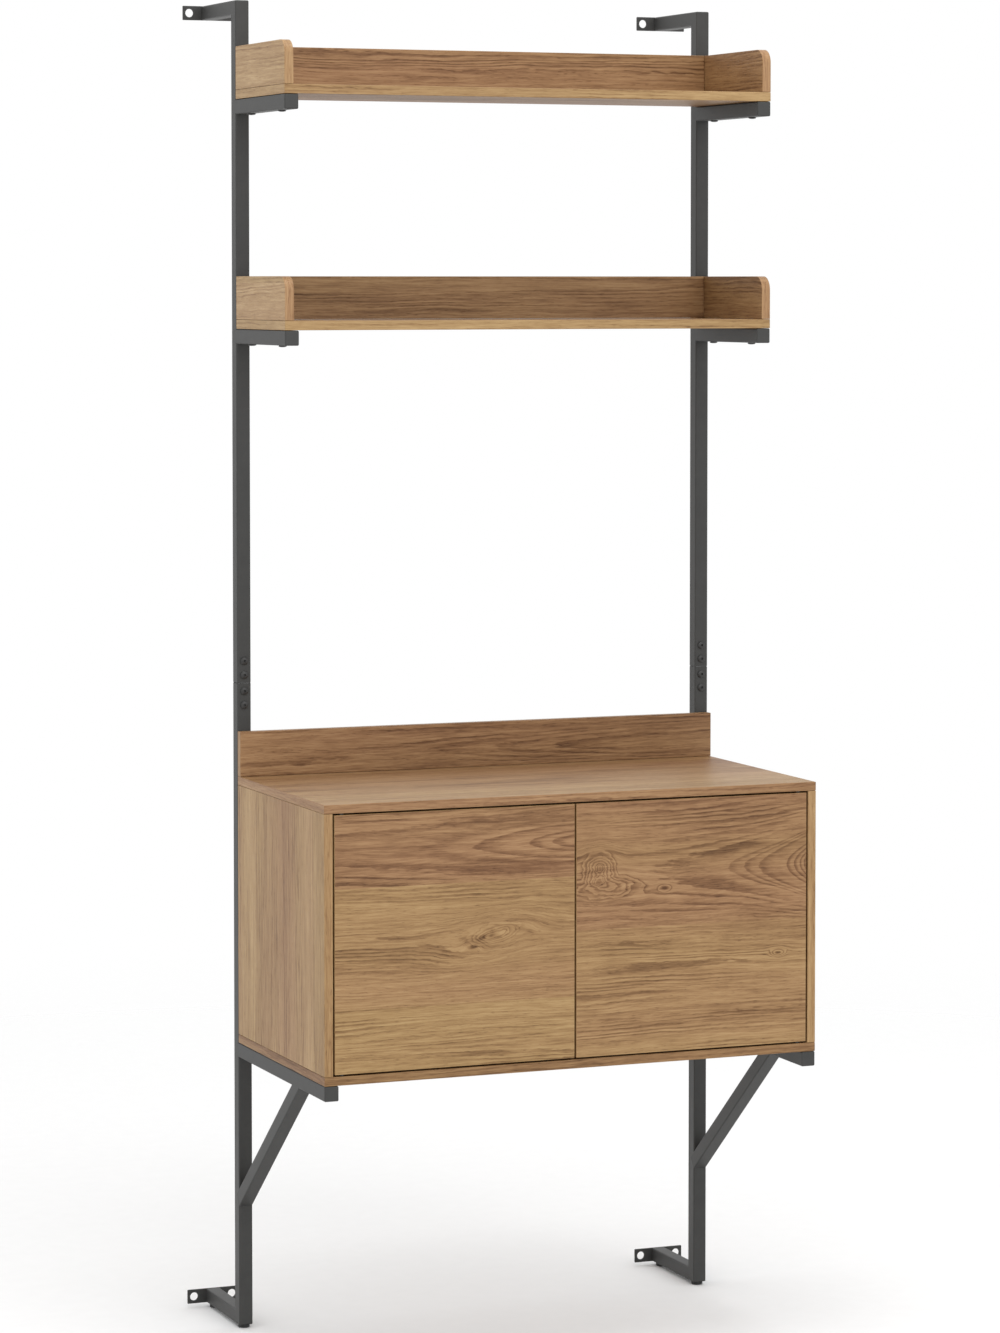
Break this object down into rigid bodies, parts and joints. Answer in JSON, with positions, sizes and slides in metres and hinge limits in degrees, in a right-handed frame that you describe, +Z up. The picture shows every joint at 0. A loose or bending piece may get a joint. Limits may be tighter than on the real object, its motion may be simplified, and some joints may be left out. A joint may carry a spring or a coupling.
{
  "type": "wall-fixed shelving unit with cabinet",
  "caption": "Tall square-tube posts held off the wall by short plated arms, carrying open shelf trays high up and a wooden cabinet with hinged doors on braced arms.",
  "frame": {"origin": "the line where the wall meets the floor, midway along the unit", "axes": "+X along the wall to the right as seen from the front, +Y into the wall, +Z up"},
  "size_m": [0.97, 0.64, 2.323],
  "materials": {
    "dark_powder_coat": "satin powder coat",
    "oiled_oak": "oiled",
    "black_plastic": "matt",
    "black_steel": "black",
    "zinc_steel": "zinc plated",
    "brass": "plain"
  },
  "bodies": {
    "frame_and_carcass": {"post_upper_left": "dark_powder_coat", "post_lower_left": "dark_powder_coat", "splice_sleeve_left": "zinc_steel", "splice_screw_left_1": "black_steel", "splice_screw_left_2": "black_steel", "splice_screw_left_3": "black_steel", "splice_screw_left_4": "black_steel", "top_wall_arm_left": "dark_powder_coat", "foot_wall_arm_left": "dark_powder_coat", "upper_tray_arm_left": "dark_powder_coat", "lower_tray_arm_left": "dark_powder_coat", "cabinet_arm_left": "dark_powder_coat", "cabinet_brace_left": "dark_powder_coat", "glide_front_left": "black_plastic", "glide_rear_left": "black_plastic", "post_upper_right": "dark_powder_coat", "post_lower_right": "dark_powder_coat", "splice_sleeve_right": "zinc_steel", "splice_screw_right_1": "black_steel", "splice_screw_right_2": "black_steel", "splice_screw_right_3": "black_steel", "splice_screw_right_4": "black_steel", "top_wall_arm_right": "dark_powder_coat", "foot_wall_arm_right": "dark_powder_coat", "upper_tray_arm_right": "dark_powder_coat", "lower_tray_arm_right": "dark_powder_coat", "cabinet_arm_right": "dark_powder_coat", "cabinet_brace_right": "dark_powder_coat", "glide_front_right": "black_plastic", "glide_rear_right": "black_plastic", "upper_tray_board": "oiled_oak", "upper_tray_back_rail": "oiled_oak", "upper_tray_end_left": "oiled_oak", "upper_tray_end_right": "oiled_oak", "lower_tray_board": "oiled_oak", "lower_tray_back_rail": "oiled_oak", "lower_tray_end_left": "oiled_oak", "lower_tray_end_right": "oiled_oak", "cabinet_bottom": "oiled_oak", "cabinet_top": "oiled_oak", "cabinet_side_left": "oiled_oak", "cabinet_side_right": "oiled_oak", "cabinet_back": "oiled_oak", "backsplash": "oiled_oak", "pivot_pin_bottom_left": "black_steel", "pivot_pin_top_left": "black_steel", "pivot_pin_bottom_right": "black_steel", "pivot_pin_top_right": "black_steel", "latch_housing": "black_plastic"},
    "left_door": {"door_left": "oiled_oak", "pivot_bush_bottom_left": "brass", "pivot_bush_top_left": "brass", "strike_left": "zinc_steel"},
    "right_door": {"door_right": "oiled_oak", "pivot_bush_bottom_right": "brass", "pivot_bush_top_right": "brass", "strike_right": "zinc_steel"},
    "left_plunger": {"latch_plunger_left": "black_plastic"},
    "right_plunger": {"latch_plunger_right": "black_plastic"}
  },
  "joints": [
    {"name": "door_left_hinge", "type": "hinge", "parent": "frame_and_carcass", "child": "left_door", "pos_m": [-0.418, -0.6325, 0.741], "axis": [0, 0, -1], "range_deg": [0, 110]},
    {"name": "door_right_hinge", "type": "hinge", "parent": "frame_and_carcass", "child": "right_door", "pos_m": [0.418, -0.6325, 0.741], "axis": [0, 0, 1], "range_deg": [0, 110]},
    {"name": "latch_left_push", "type": "slide", "parent": "frame_and_carcass", "child": "left_plunger", "axis": [0, 1, 0], "range_m": [0, 0.003], "stiffness_N_per_m": 200},
    {"name": "latch_right_push", "type": "slide", "parent": "frame_and_carcass", "child": "right_plunger", "axis": [0, 1, 0], "range_m": [0, 0.003], "stiffness_N_per_m": 200}
  ]
}
